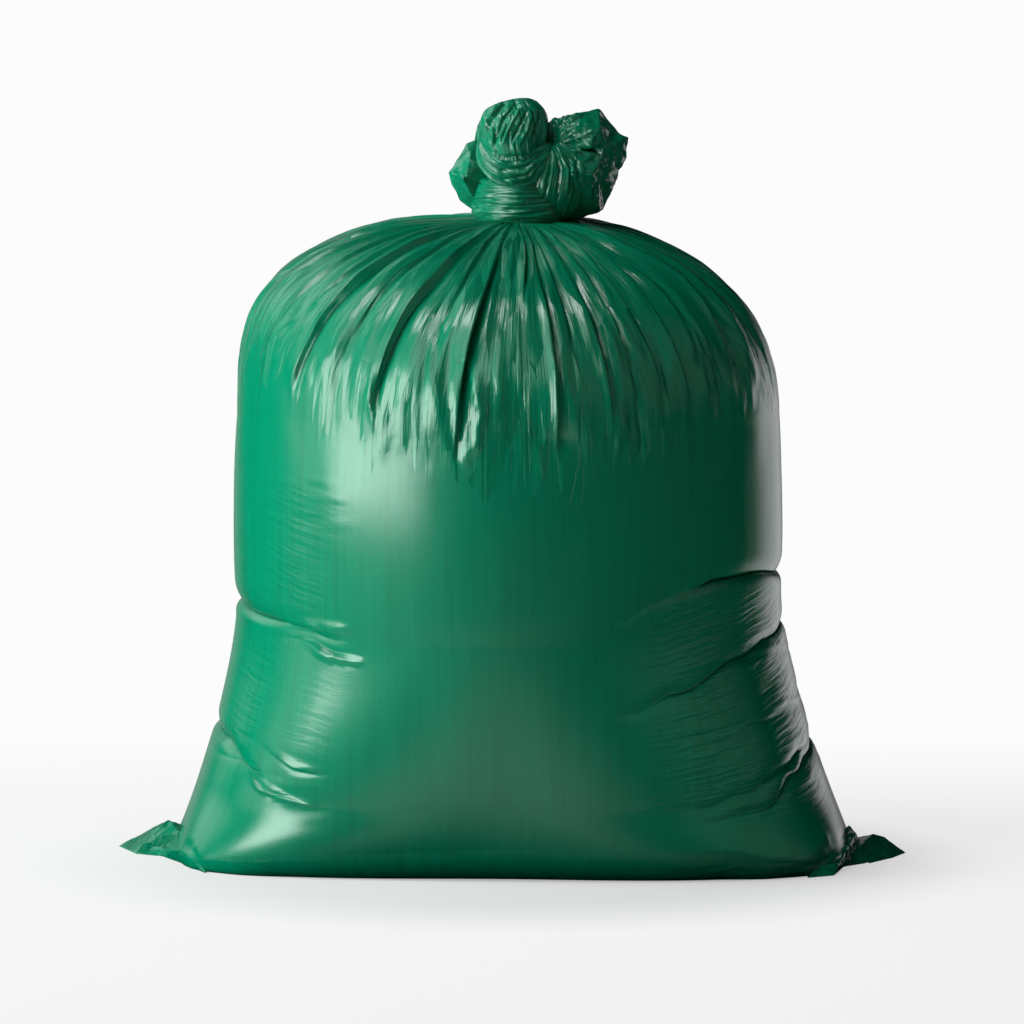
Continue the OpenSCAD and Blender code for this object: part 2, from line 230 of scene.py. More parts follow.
# The sack, as the solid that it stands for, in millimetres. Angles are degrees from the front, and the right
# is positive. Four numbers in a row say where something starts, is full, is still full and ends
sack = {
    "flatWidth": 700,
    "neckHeight": 520,
    "neckRadius": 29,
    "shoulderHeight": 366,
    "shoulderSquare": 2.5,
    "shoulderSlump": 0.4,
    "spreadHeight": (195, 215),
    "spreadCurve": 1.4,
    "sideTurn": 0.8,  # how fast the left side's numbers turn into the right side's
    "baseWidth": (279, 281),  # from the middle to the left and to the right, where the sack stands
    "baseDepth": (180, 204, 184),  # to the front left, to the front right and to the back
    "baseTurns": (-62, 53, 80, 110),  # where front left turns into front right, and where the back comes in
    "baseSquare": (4.2, 3.0, 60),  # on the floor, above it, and how high it takes to change
    # height and inset of the rounding on to the floor, by angle
    "roundHeight": [(-180, 20), (-120, 14), (-90, 10), (-66, 11), (-56, 15), (-45, 20), (0, 26), (42, 26),
                    (50, 18), (60, 11), (90, 10), (120, 14)],
    "roundInset": [(-180, 8), (-120, 4), (-90, 3), (-66, 3), (-56, 6), (-45, 14), (0, 20), (42, 16), (50, 7),
                   (60, 3), (90, 3), (120, 4)],
    "depthHeight": 220,  # where the wall is as deep as it is wide again
    "depthCurve": 1.7,
    "waist": 195,
    "swell": 2.0,  # how far the wall bulges between there and the shoulder
    "neckShift": 4,
    "neckRise": 16,
    "neckTaper": 0.12,
    "wallShift": -3,
    "rows": {"under": 3, "round": 6, "creased": 98, "plain": 22, "dome": 98, "neck": 4},
    "underside": 0.35,  # how far in the underside's first row lies
    "creaseTop": 300,
    "creaseRows": [0, 0.17, 0.27, 0.38, 0.62, 0.80, 1.0],  # where the creases lie in the creased rows
    "columnWidth": (2.6, 6.2),  # in front, and behind
    "fewestColumns": (9, 6),
    "behind": (88, 98),
    # how far columns crowd towards the gathers, rows towards the creases and towards the shoulder
    "crowded": (0.55, 0.6, 1.25),
    "ownMap": (40, 20),  # length of the underside and of the rounding on the film's map
    "uneven": ((90, 90, 130), 1.3),  # cell and height of the wall's broad unevenness
    "folds": ((60, 60, 9), 0.6, 0.1),  # cell, height and slant of the small folds on the flanks
    "foldedRight": ((18, 43, 95, 120), (40, 70, 175, 215)),  # by angle and by height
    "foldedLeft": ((25, 50), (20, 50, 270, 330), 0.35),
    "wrinkled": {
        "rightWrinkles": (1, (24, 46, 87, 112), (30, 70, 213, 238)),
        "leftWrinkles": (-1, (34, 50, 87, 112), (70, 110, 305, 345)),
    },
    "wrinkleEdge": (55, 77, 0.6),  # towards the right they fade by this share
}
wallRadius = sack["flatWidth"] / math.pi
domeHeight = sack["neckHeight"] - sack["shoulderHeight"]

# Gathers: angle at the foot, height of the foot, depth, width of its slope, and the side that lies on top
gathers = {
    "front": [
        (-86, 420, 3, 16, 1), (-76, 462, 3, 12, 1), (-65, 432, 4, 13, 1), (-57, 452, 4, 12, 1),
        (-52, 388, 8, 18, 1), (-40, 440, 2.5, 14, 1), (-30, 378, 12, 13, 1), (-19, 452, 3, 12, 1),
        (-11, 344, 13, 11, 1), (-4.6, 478, 7, 8, -1), (4, 470, 6, 9, 1), (10.4, 352, 8, 10, 1),
        (16, 440, 3, 9, 1), (22.5, 380, 9, 12, 1), (29, 418, 7, 11, 1), (36, 400, 4, 14, 1),
        (43, 396, 6, 18, 1), (51, 455, 3, 14, 1), (60, 420, 9, 18, 1), (73, 380, 6, 18, 1),
        (84, 430, 5, 14, 1),
    ],
    "backCount": 17,
    "backDepth": (4, 10),
    "backFoot": (350, 470),
    "fan": (11, 20, 40),  # how much nearer the front each gather starts at the neck, and where that begins
    "fade": (3, 0.9),  # how its depth runs out towards the foot
    "neckDepth": (0.55, 0.6),  # its share at the neck, and how far down it is full
    "slopes": (0.35, 0.85),  # share of the slope's width at the neck and at the foot
    "most": (0.42, 0.6),  # the most depth and slope to the width between two gathers
    "edge": (1.4, 0.6),  # how sharply a slope ends, and how wide its crest is
    "waver": (0.7, 34),  # how far and how often it sways
    "lip": (0.9, 0.12),  # half the gap in which one side drops to the other, and its most to the width
    "crest": 0.5,
    "overlap": 0.55,
    "bulge": 0.8,
    "fine": 0.55,  # height of the small pleats between them
    "crushed": 2.0,
    # weight, width, length and shift of the small pleats, and height, cell and shift of their ragged ends
    "pleats": [(1, 11, 110, 0), (0.45, 6, 70, 9.3)],
    "ragged": [(34, 7, 4.4), (16, 3, 8.1)],
    "pleatDepth": (0.8, 2.2),
    "start": (6, 56),  # how far from the neck they start
    "run": (26, 110, 80),  # how soon they end, from which girth and length they are whole
    "fuller": (0.4, 90, 180),  # their share near the neck, and where it grows
    "facets": (26, 4),
    "uneven": ((70, 70, 110), 3.0),
    # how far down the small pleats reach, by angle
    "fringe": [(-180, 400), (-90, 400), (-60, 395), (-35, 355), (-15, 338), (8, 332), (25, 345), (45, 365),
               (65, 390), (90, 395), (135, 400)],
}

# Small folds as they are seen in the photograph: points and half width in its pixels, height in mm, and the
# side on which the edge is sharp, where a fold runs down: 0 for neither, 1 for the right, -1 for the left
strokes = [
    ([(178, 833), (186, 842), (195, 850), (204, 864)], 3, -3.0, 0),
    ([(848, 828), (840, 843), (814, 862), (804, 870)], 3, -3.0, 0),
    ([(842, 822), (826, 846), (800, 866)], 3, -1.4, 0),
    ([(835, 820), (818, 842), (792, 862)], 4, 1.2, 1),
    ([(340, 287), (322, 303), (305, 317)], 9, 1.8, 1),
    ([(303, 318), (288, 331), (272, 342)], 9, 1.8, 1),
    ([(312, 268), (280, 287)], 7, 1.4, 1),
    ([(316, 338), (303, 362), (292, 390)], 8, 2.0, 1),
    ([(330, 352), (322, 378)], 4, 1.2, 0),
    ([(345, 330), (334, 366)], 4, 1.0, 0),
    ([(376, 372), (373, 404), (380, 432)], 6, 2.2, 1),
    ([(392, 362), (386, 400), (391, 452)], 5, 1.6, 1),
    ([(408, 350), (401, 400), (404, 440)], 4, 1.2, 0),
    ([(453, 338), (447, 382), (450, 425), (457, 464)], 5, -3.2, 0),
    ([(459, 345), (472, 378), (480, 415), (474, 446), (459, 462)], 11, 3.4, -1),
    ([(462, 372), (464, 410), (460, 446)], 4, -1.6, 0),
    ([(437, 330), (431, 372), (437, 420)], 5, 1.4, 0),
    ([(500, 330), (497, 380), (501, 430), (498, 470)], 4, 1.3, 0),
    ([(516, 300), (519, 360), (517, 430)], 4, 1.2, 0),
    ([(548, 330), (555, 372), (557, 420), (557, 464)], 5, 2.6, 1),
    ([(570, 330), (578, 380), (580, 430)], 4, 1.3, 0),
    ([(597, 352), (606, 386), (613, 422)], 6, 2.4, 1),
    ([(606, 306), (622, 328), (634, 350), (642, 368)], 8, 2.6, 1),
    ([(625, 372), (634, 405)], 4, 1.3, 0),
    ([(617, 267), (642, 279), (662, 296), (680, 325), (690, 346), (694, 374)], 7, 2.2, 1),
    ([(573, 235), (600, 240), (625, 248), (652, 261), (677, 276), (701, 303), (722, 326), (743, 350)],
     6, 2.2, 1),
    ([(655, 330), (667, 362), (672, 392)], 5, 1.6, 1),
    ([(718, 293), (731, 318), (743, 346), (756, 374), (768, 398)], 6, 2.4, 1),
    ([(735, 330), (748, 362), (757, 392)], 4, 1.6, 0),
    ([(290, 621), (322, 628), (358, 630)], 6, 3.0, -1),
    ([(304, 640), (330, 655), (366, 662)], 7, 3.6, -1),
    ([(266, 742), (298, 765), (326, 770)], 6, 3.0, -1),
    ([(239, 752), (262, 786), (292, 798), (324, 804)], 7, 3.4, -1),
    ([(243, 754), (270, 783), (300, 797)], 3, 1.6, -1),
]
strokeGroups = [
    # how many, across, up and down, length, lean of a stroke that runs down (or across), half width, height
    {"count": 24, "x": (262, 752), "y": (300, 455), "length": (22, 80), "down": True, "wide": (2.6, 4.6),
     "high": (-1.0, 1.2)},
    {"count": 34, "x": (650, 770), "y": (640, 790), "length": (28, 80), "down": False, "slope": -0.3,
     "wide": (3.0, 5.0), "high": (-1.0, 1.3)},
    {"count": 16, "x": (248, 310), "y": (470, 575), "length": (28, 64), "down": False, "slope": 0.16,
     "wide": (3.0, 5.0), "high": (-0.6, 0.7)},
]

# How the strokes that run down fan out: the neck's middle in pixels, and how they rise and spread beside it
strokeFan = {"middle": 505, "half": 260, "rise": 70, "spread": 640, "loose": 0.05, "looseSlope": 0.06}
strokeTaper = (3.2, 0.8)
strokeEdge = 1.8  # width of a sharp side, in pixels

# Strokes on the knot, which are only folds of its front
knotStrokes = [
    ([(511, 100), (500, 110), (489, 123), (484, 146)], 3, -3.0, 0),
    ([(519, 103), (503, 122), (494, 148)], 2, -1.6, 0),
    ([(524, 106), (512, 124), (502, 148)], 3, 1.4, 1),
    ([(516, 116), (506, 132), (499, 150)], 2, -1.2, 0),
    ([(530, 108), (521, 126), (511, 146)], 2, -1.4, 0),
    ([(533, 112), (527, 132), (519, 149)], 3, 1.2, 1),
    ([(541, 112), (537, 130), (530, 148)], 2.5, -1.0, 0),
    ([(490, 126), (494, 136), (492, 150)], 2.5, 1.2, -1),
    ([(543, 122), (545, 136), (541, 147)], 2.5, 0.9, 1),
    ([(486, 152), (505, 160), (530, 158), (546, 152)], 2.5, -1.4, 0),
    ([(483, 160), (502, 172), (525, 170), (546, 154)], 2.5, -1.6, 0),
    ([(485, 170), (504, 182), (527, 178), (545, 157)], 2, -1.2, 0),
    ([(492, 178), (512, 188), (532, 182), (546, 159)], 2, -1.2, 0),
    ([(491, 155), (499, 163), (508, 166)], 4, 1.8, 0),
    ([(551, 155), (549, 175), (544, 203)], 2.5, -1.8, 0),
    ([(555, 154), (560, 172), (556, 204)], 2, -1.2, 0),
    ([(558, 153), (568, 170), (567, 200)], 2, 1.2, 1),
    ([(562, 152), (574, 166), (575, 190)], 2, -1.2, 0),
]


def allStrokes():
    rng = np.random.default_rng(seed + 4)
    found = list(strokes)
    fan = strokeFan
    for group in strokeGroups:
        for _ in range(group["count"]):
            x, y = rng.uniform(*group["x"]), rng.uniform(*group["y"])
            length, wide = rng.uniform(*group["length"]), rng.uniform(*group["wide"])
            high = rng.uniform(*group["high"])
            if group["down"]:
                y -= fan["rise"] * min(1, abs(x - fan["middle"]) / fan["half"]) ** 2
                slope = (x - fan["middle"]) / fan["spread"] + rng.uniform(-fan["loose"], fan["loose"])
                dx, dy = length * slope, length
            else:
                dx = length
                dy = length * (group["slope"] + rng.uniform(-fan["looseSlope"], fan["looseSlope"]))
            bend = rng.uniform(-fan["loose"], fan["loose"]) * length
            middle = (x + dx / 2 + bend * group["down"], y + dy / 2 + bend * (not group["down"]))
            found.append(([(x, y), middle, (x + dx, y + dy)], wide, high, int(rng.integers(-1, 2))))
    return found


def strokeLift(points, drawn):  # how far the strokes raise each point, in mm
    tilt = math.radians(studio["elevation"])
    across, down = studio["centre"]
    rise = points[:, 2] * math.cos(tilt) + points[:, 1] * math.sin(tilt)
    seen = np.column_stack([across + points[:, 0] / studio["pixel"], down - rise / studio["pixel"]])
    front = window(-points[:, 1], -4, 10)
    lift = np.zeros(len(points))
    for path, wide, high, sharp in drawn:
        path = np.array(path, float)
        low, top = path.min(0) - wide, path.max(0) + wide
        near = np.flatnonzero((front > 0) & (seen > low).all(1) & (seen < top).all(1))
        if not len(near):
            continue
        spots = seen[near]
        runs = np.concatenate([[0], np.cumsum(np.linalg.norm(np.diff(path, axis=0), axis=1))])
        best, aside, where = np.full(len(near), 1e9), np.zeros(len(near)), np.zeros(len(near))
        for k in range(len(path) - 1):
            way = path[k + 1] - path[k]
            size = np.linalg.norm(way)
            way = way / size
            along = np.clip((spots - path[k]) @ way, 0, size)
            gap = spots - path[k] - along[:, None] * way
            distance = np.linalg.norm(gap, axis=1)
            side = np.sign(gap[:, 0] * way[1] - gap[:, 1] * way[0])
            closer = distance < best
            best = np.where(closer, distance, best)
            aside = np.where(closer, side, aside)
            where = np.where(closer, runs[k] + along, where)
        share = where / runs[-1]
        ends = np.minimum(1, strokeTaper[0] * np.minimum(share, 1 - share)) ** strokeTaper[1]
        reach = np.where(aside == sharp, strokeEdge, wide) if sharp else np.full(len(near), wide)
        lift[near] += high * ends * np.maximum(0, 1 - best / reach) * front[near]
    return lift


def gatherLines():
    rng = np.random.default_rng(seed)
    lines = list(gathers["front"])
    first, last = lines[-1][0], lines[0][0] + 360
    count = gathers["backCount"]
    shallow, deep = gathers["backDepth"]
    low, high = gathers["backFoot"]
    for k in range(count):
        angle = mix(first, last, (k + 1 + rng.uniform(-0.25, 0.25)) / (count + 1))
        foot = rng.uniform(low, high)
        depth = mix(deep, shallow, (foot - low) / (high - low)) * rng.uniform(0.7, 1)
        lines.append((angle, foot, depth, rng.uniform(10, 22), 1 if rng.random() < 0.6 else -1))
    waves = rng.uniform(0, 2 * math.pi, len(lines))
    lines = np.array(lines, float)
    order = np.argsort(lines[:, 0])
    return lines[order], waves[order]


# Creases: each runs all the way round as a row of the mesh, and has its own depth by angle
creases = [
    {
        "path": [(-180, 60), (-120, 85), (-90, 90), (-62, 90), (-50, 67), (-37, 57), (-10, 45),
                 (20, 42), (40, 48), (51, 55), (63, 79), (74, 88), (90, 93), (120, 85)],
        "depth": [(-180, 0), (-140, 0), (-95, 0), (-62, 1), (-50, 2.5), (-42, 1), (-36, 0),
                  (36, 0), (48, 2), (60, 4), (74, 5), (90, 5), (110, 4), (135, 0)],
        "below": 5, "above": 4,
    },
    {
        "path": [(-180, 80), (-120, 102), (-90, 107), (-72, 104), (-53, 82), (-37, 72), (-10, 62),
                 (20, 56), (40, 60), (47, 69), (59, 84), (71, 94), (90, 101), (120, 96)],
        "depth": [(-180, 0), (-135, 1), (-110, 5), (-90, 7), (-72, 7), (-62, 4), (-53, 1), (-46, 0),
                  (32, 0), (42, 2), (52, 4), (64, 5), (76, 2), (90, 1), (130, 0)],
        "below": 4, "above": 5,
    },
    {
        "path": [(-180, 104), (-120, 119), (-90, 117), (-65, 111), (-54, 103), (-44, 88), (-36, 84),
                 (-10, 86), (20, 95), (60, 124), (90, 134), (120, 128)],
        "depth": [(-180, 0), (-65, 0), (-54, 1), (-44, 2), (-37, 0), (-33, 0),
                  (30, 0), (60, 1), (90, 1), (120, 0)],
        "below": 5, "above": 5,
    },
    {
        "path": [(-180, 170), (-90, 190), (-47, 192), (-32, 178), (-10, 160), (10, 138), (26, 138),
                 (36, 152), (55, 175), (70, 185), (90, 190), (120, 182), (150, 170)],
        "depth": [(-180, 0), (-58, 0), (-48, 1), (-39, 2), (-31, 0), (-27, 0),
                  (20, 0), (28, 1.5), (38, 4), (55, 4), (70, 3.5), (90, 4), (115, 2), (140, 0)],
        "below": 4, "above": 5,
    },
    {
        "path": [(-180, 195), (-120, 206), (-90, 209), (-62, 205), (-52, 203), (-39, 194), (-20, 190),
                 (10, 200), (25, 215), (32, 227), (40, 234), (50, 241), (62, 241), (90, 232), (120, 226),
                 (150, 205)],
        "depth": [(-145, 0), (-120, 5), (-90, 8), (-62, 7), (-52, 4), (-42, 2), (-34, 0),
                  (18, 0), (28, 1.5), (40, 3), (50, 6), (62, 7), (90, 7), (115, 5), (140, 0)],
        "below": 4, "above": 6,
    },
]
creaseLip = (0.06, 1.9)  # how far the film beside a crease stands out, and how far away
creaseHang = 0.45  # and how far the film above it hangs down over it


def wallShape(angle, z):  # distance from the middle, and the sideways shift of the middle
    turn = np.radians(angle)
    share = ease(0.5 + sack["sideTurn"] * np.sin(turn))
    top = mix(*sack["spreadHeight"], share)
    fade = ease(z / top)
    low, above, height = sack["baseSquare"]
    power = 2 + (above - 2) * (1 - fade) + (low - above) * (1 - ease(z / height))
    spread = np.maximum(0, 1 - z / top) ** sack["spreadCurve"]
    a = mix(wallRadius, mix(*sack["baseWidth"], share), spread)
    left, right, back = sack["baseDepth"]
    turns = sack["baseTurns"]
    b = mix(mix(left, right, window(angle, *turns[:2])), back, window(np.abs(angle), *turns[2:]))
    b = mix(wallRadius, b, np.maximum(0, 1 - z / sack["depthHeight"]) ** sack["depthCurve"])
    radius = (np.abs(np.sin(turn) / a) ** power + np.abs(np.cos(turn) / b) ** power) ** (-1 / power)
    up = np.clip((z - sack["waist"]) / (sack["shoulderHeight"] - sack["waist"]), 0, 1)
    return radius + sack["swell"] * np.sin(math.pi * up), sack["wallShift"] * fade


def domeShape(angle, t):  # distance, height and outward direction on the shoulders
    n = sack["shoulderSquare"] - sack["shoulderSlump"] * np.sin(np.radians(angle))
    last = np.arccos((sack["neckRadius"] / wallRadius) ** (n / 2))
    radius = wallRadius * np.cos(last * t) ** (2 / n)
    rise = (np.sin(last * t) / np.sin(last)) ** (2 / n)
    out = (radius / wallRadius) ** (n - 1) / wallRadius
    up = rise ** (n - 1) / domeHeight
    size = np.hypot(out, up)
    return radius, sack["shoulderHeight"] + domeHeight * rise, out / size, up / size


def panels(gathered):  # which gather each column lies after, and how far it is to the next
    nextFoot = np.append(gathered[1:, 0], gathered[0, 0] + 360)
    widths = (nextFoot - gathered[:, 0]) * math.pi / 180 * wallRadius
    middle = gathered[:, 0] + np.degrees(widths / wallRadius) / 2
    behind = window(np.abs((middle + 180) % 360 - 180), *sack["behind"])
    wanted = np.round(widths / mix(*sack["columnWidth"], behind)).astype(int)
    each = np.maximum(mix(*sack["fewestColumns"], behind).astype(int), wanted)
    step = np.concatenate([np.arange(n) / (n - 1) for n in each])
    crowded = mix(step, 0.5 - 0.5 * np.cos(math.pi * step), sack["crowded"][0])
    return np.repeat(np.arange(len(gathered)), each), crowded


def sackBody():
    gathered, waves = gatherLines()
    panelOf, shareOf = panels(gathered)
    counts = sack["rows"]
    kind = np.append(np.repeat(list(counts), list(counts.values())), "neck")
    part = np.concatenate([np.arange(n) / n for n in counts.values()] + [[1.0]])
    shoulder, neckShift = sack["shoulderHeight"], sack["neckShift"]

    # the way from the neck down an average meridian
    steps = np.linspace(0, 1, 200)
    out, high, _, _ = domeShape(np.zeros(200), steps)
    arc = np.concatenate([[0], np.cumsum(np.hypot(np.diff(out), np.diff(high)))])
    domeLength = arc[-1]
    feet = gathered[:, 1]
    onDome = domeLength - np.interp(feet, high, arc)
    footLength = np.where(feet > shoulder, onDome, domeLength + shoulder - feet)
    marks = {}

    def place(column, row):
        k, share = panelOf[column], shareOf[column]
        following = (k + 1) % len(gathered)
        section, t = kind[row], part[row]
        isNeck, isDome, isPlain = section == "neck", section == "dome", section == "plain"
        isRound, isUnder = section == "round", section == "under"
        # how far below the neck each row lies
        tDome = np.where(isDome, 1 - (1 - t) ** sack["crowded"][2], 0)
        tDome = np.where(isNeck, 1, tDome)
        zPlain = mix(sack["creaseTop"], shoulder, t)
        below = np.select([isNeck, isDome, isPlain], [
            0, domeLength - np.interp(tDome, steps, arc), domeLength + shoulder - zPlain,
        ], domeLength + (shoulder - sack["creaseTop"]))

        # the gathers fan out from the neck, and the columns follow them
        pull, past, short = gathers["fan"]
        fan = ease((domeLength + past - below) / (domeLength - short))

        def lineAngle(index, offset):
            foot = gathered[index, 0]
            sway = gathers["waver"][0] * np.sin(below / gathers["waver"][1] + waves[index]) * fan
            return foot + offset - pull * np.sin(np.radians(2 * foot)) * fan + sway

        left, right = lineAngle(k, 0), lineAngle(following, np.where(following == 0, 360, 0))
        radius = domeShape(mix(left, right, share), tDome)[0]
        width = np.radians(right - left) * radius
        lip = np.degrees(np.minimum(gathers["lip"][0], gathers["lip"][1] * width) / radius)
        angle = mix(left + lip, right - lip, share)
        radius, z, out, up = domeShape(angle, tDome)

        def side(index, away):  # depth of a gather here, and what is left of its dip and its crest
            _, _, depth, reach, _ = gathered[index].T
            x = np.clip(below / footLength[index], 0, 1)
            power, root = gathers["fade"]
            least, full = gathers["neckDepth"]
            body = depth * (1 - x ** power) ** root * mix(least, 1, ease(x / full))
            body = np.minimum(body, gathers["most"][0] * width)
            slope = np.minimum(reach * mix(*gathers["slopes"], x), gathers["most"][1] * width)
            sharp, crest = gathers["edge"]
            return body, *(np.exp(-((away * width / w) ** sharp)) for w in (slope, crest * slope))

        deepL, dipL, crestL = side(k, share)
        deepR, dipR, crestR = side(following, 1 - share)
        topL, topR = gathered[k, 4] > 0, gathered[following, 4] > 0
        crest, overlap = gathers["crest"], gathers["overlap"]
        push = np.where(topL, -deepL * dipL, crest * deepL * crestL)
        push = push + np.where(topR, crest * deepR * crestR, -deepR * dipR)
        push = push + gathers["bulge"] * np.minimum(deepL + deepR, width) * share * (1 - share)
        slide = np.where(topL, 0, -overlap * deepL * crestL) + np.where(topR, overlap * deepR * crestR, 0)
        grown = angle + np.degrees(slide / radius)
        turn = np.radians(grown)
        direction = np.column_stack([np.sin(turn), -np.cos(turn), np.zeros(len(turn))])
        raised = np.array([0, 0, 1.0])

        # fine folds that run with the gathers
        spot = direction * wallRadius
        spot[:, 2] = below
        line = domeLength + shoulder - aroundCurve(gathers["fringe"], angle)
        ends = line
        for rough, cell, moved in gathers["ragged"]:
            ends = ends + rough * noiseAt(spot * (1, 1, 0), cell, moved)
        soon, girth, length = gathers["run"]
        started, wideEnough = window(below, *gathers["start"]), np.minimum(1, radius / girth)
        tall = started * ease((ends - below) / soon)
        fine = 0
        for weight, cell, long, moved in gathers["pleats"]:
            crease = np.abs(noiseAt(spot, (cell, cell, long), moved))
            fine = fine + weight * (gathers["pleatDepth"][0] - gathers["pleatDepth"][1] * crease)
        least, start, full = gathers["fuller"]
        fine = fine * mix(least, 1, window(below, start, full))
        stretched = spot * (1, 1, 0.4) + 6 * drift(spot, (30, 30, 60), 1, 2, 3)
        crushed = facets(stretched, *gathers["facets"], np.random.default_rng(seed))
        push = push + (fine * gathers["fine"] + crushed * gathers["crushed"]) * (tall * wideEnough)
        cell, height = gathers["uneven"]
        push = push + noiseAt(spot, cell, 3.1) * height * ease(below / length)
        dome = direction * (radius + push * out)[:, None] + raised * (z + push * up)[:, None]
        dome[:, 0] += mix(sack["wallShift"], neckShift, ease(tDome))
        neck = dome + raised * (sack["neckRise"] * t)[:, None]
        neck[:, :2] = (dome[:, :2] - [neckShift, 0]) * (1 - sack["neckTaper"] * t)[:, None] + [neckShift, 0]

        # the wall, with rows that follow the creases
        low, inward = aroundCurve(sack["roundHeight"], grown), aroundCurve(sack["roundInset"], grown)
        paths = [aroundCurve(c["path"], grown) for c in creases]
        anchors = np.array([low, *paths, np.full(len(turn), float(sack["creaseTop"]))])
        cuts = np.array(sack["creaseRows"])
        span = np.clip(np.searchsorted(cuts, t, side="right") - 1, 0, len(anchors) - 2)
        local = (t - cuts[span]) / (cuts[span + 1] - cuts[span])
        local = mix(local, 0.5 - 0.5 * np.cos(math.pi * local), sack["crowded"][1])
        pick = np.arange(len(turn))
        zWall = mix(anchors[span, pick], anchors[span + 1, pick], local)
        zWall = np.where(isPlain, zPlain, zWall)
        dent, drop = np.zeros(len(turn)), np.zeros(len(turn))
        for crease, path in zip(creases, paths):
            away = zWall - path
            deep = aroundCurve(crease["depth"], grown)
            near = np.abs(away) / np.where(away > 0, crease["above"], crease["below"])
            dent += deep * (creaseLip[0] * np.exp(-((near - creaseLip[1]) ** 2)) - np.exp(-near))
            drop += np.where(away > 0, -creaseHang * deep * np.exp(-near * 2), 0)
        distance, sideways = wallShape(grown, zWall)
        spot[:, 2] = zWall
        cell, height = sack["uneven"]
        dent = dent + noiseAt(spot, cell, 5.7) * height * window(zWall, 10, 70)
        cell, height, lean = sack["folds"]
        spot[:, 2] = zWall - lean * np.where(grown > 0, 1, -1) * np.radians(np.abs(grown)) * wallRadius
        flank = window(grown, *sack["foldedRight"][0]) * window(zWall, *sack["foldedRight"][1])
        angles, heights, less = sack["foldedLeft"]
        flank = flank + less * window(-grown, *angles) * window(zWall, *heights)
        dent = dent + (0.4 - 2 * np.abs(noiseAt(spot, cell, 1.9))) * height * flank
        dent = np.where(isPlain, dent + push * window(zWall, 310, 360), dent)
        wall = direction * (distance + dent)[:, None]
        wall[:, 0] += sideways
        wall[:, 2] = zWall + drop

        # the rounding on to the floor, and the underside
        bend = np.where(isRound, t * math.pi / 2, 0)
        distance, sideways = wallShape(grown, low)
        flat = (distance - inward) * mix(sack["underside"], 1, t)
        foot = direction * np.where(isUnder, flat, distance - inward * (1 - np.sin(bend)))[:, None]
        foot[:, 0] += sideways
        foot[:, 2] = np.where(isUnder, 0, low * (1 - np.cos(bend)))

        sections = [c[:, None] for c in (isUnder | isRound, isDome, isNeck)]
        points = np.select(sections, [foot, dome, neck], wall)
        lift = strokeLift(points, allStrokes()) * ~(isUnder | isNeck)
        normal = direction * np.where(isDome, out, 1)[:, None] + raised * np.where(isDome, up, 0)[:, None]
        points = points + normal * lift[:, None]
        onShoulder = isDome | isNeck
        marks["gathered"] = np.where(isDome | isPlain, tall, 0)
        marks["fringe"] = (line - np.where(onShoulder, below, domeLength + shoulder - zWall)) * mm
        marks["pleated"] = started * wideEnough
        start, full, less = sack["wrinkleEdge"]
        for mark, (way, angles, heights) in sack["wrinkled"].items():
            amount = window(way * grown, *angles) * (1 - less * window(grown, start, full))
            marks[mark] = amount * window(zWall, *heights) * ~isDome
        under, rounding = sack["ownMap"]
        fromFloor = under + rounding + np.where(onShoulder, domeLength + shoulder - below, zWall)
        along = np.select([isUnder, isRound], [under * t, under + rounding * t], fromFloor)
        return points, 2 * sack["flatWidth"], along

    piece = spunGrid("sackBody", len(panelOf), len(kind), place)
    for name, values in marks.items():
        mark = piece.data.attributes.new(name, "FLOAT", "POINT")
        mark.data.foreach_set("value", values.astype(np.float32))
    print("sack body:", len(panelOf), "columns,", len(kind), "rows")
    return piece


def hexColour(code):  # an sRGB hex value as the linear colour that a shader wants
    parts = [int(code[i:i + 2], 16) / 255 for i in (0, 2, 4)]
    return tuple(c / 12.92 if c <= 0.04045 else ((c + 0.055) / 1.055) ** 2.4 for c in parts) + (1,)


def addNode(tree, kind, inputs=None, **settings):
    node = tree.nodes.new(kind)
    for key, value in settings.items():
        setattr(node, key, value)
    for key, value in (inputs or {}).items():
        if isinstance(value, bpy.types.NodeSocket):
            tree.links.new(value, node.inputs[key])
        else:
            node.inputs[key].default_value = value
    return node


def mathNode(tree, operation, *values):
    return addNode(tree, "ShaderNodeMath", dict(enumerate(values)), operation=operation).outputs[0]


def vectorNode(tree, operation, *values):
    node = addNode(tree, "ShaderNodeVectorMath", dict(enumerate(values)), operation=operation)
    return node.outputs["Value" if operation in ("DOT_PRODUCT", "DISTANCE", "LENGTH") else "Vector"]


def rampNode(tree, value, low, high, top=1.0, bottom=0.0):
    return addNode(tree, "ShaderNodeMapRange", {
        "Value": value, "From Min": low, "From Max": high, "To Min": bottom, "To Max": top,
    }, interpolation_type="SMOOTHSTEP").outputs[0]


def blendNode(tree, share, first, second):
    return addNode(tree, "ShaderNodeMix", {0: share, 6: first, 7: second}, data_type="RGBA").outputs[2]


def partNode(tree, vector, axis):
    return addNode(tree, "ShaderNodeSeparateXYZ", {"Vector": vector}).outputs[axis]


def emptyTree(owner):
    owner.use_nodes = True
    owner.node_tree.nodes.clear()
    return owner.node_tree


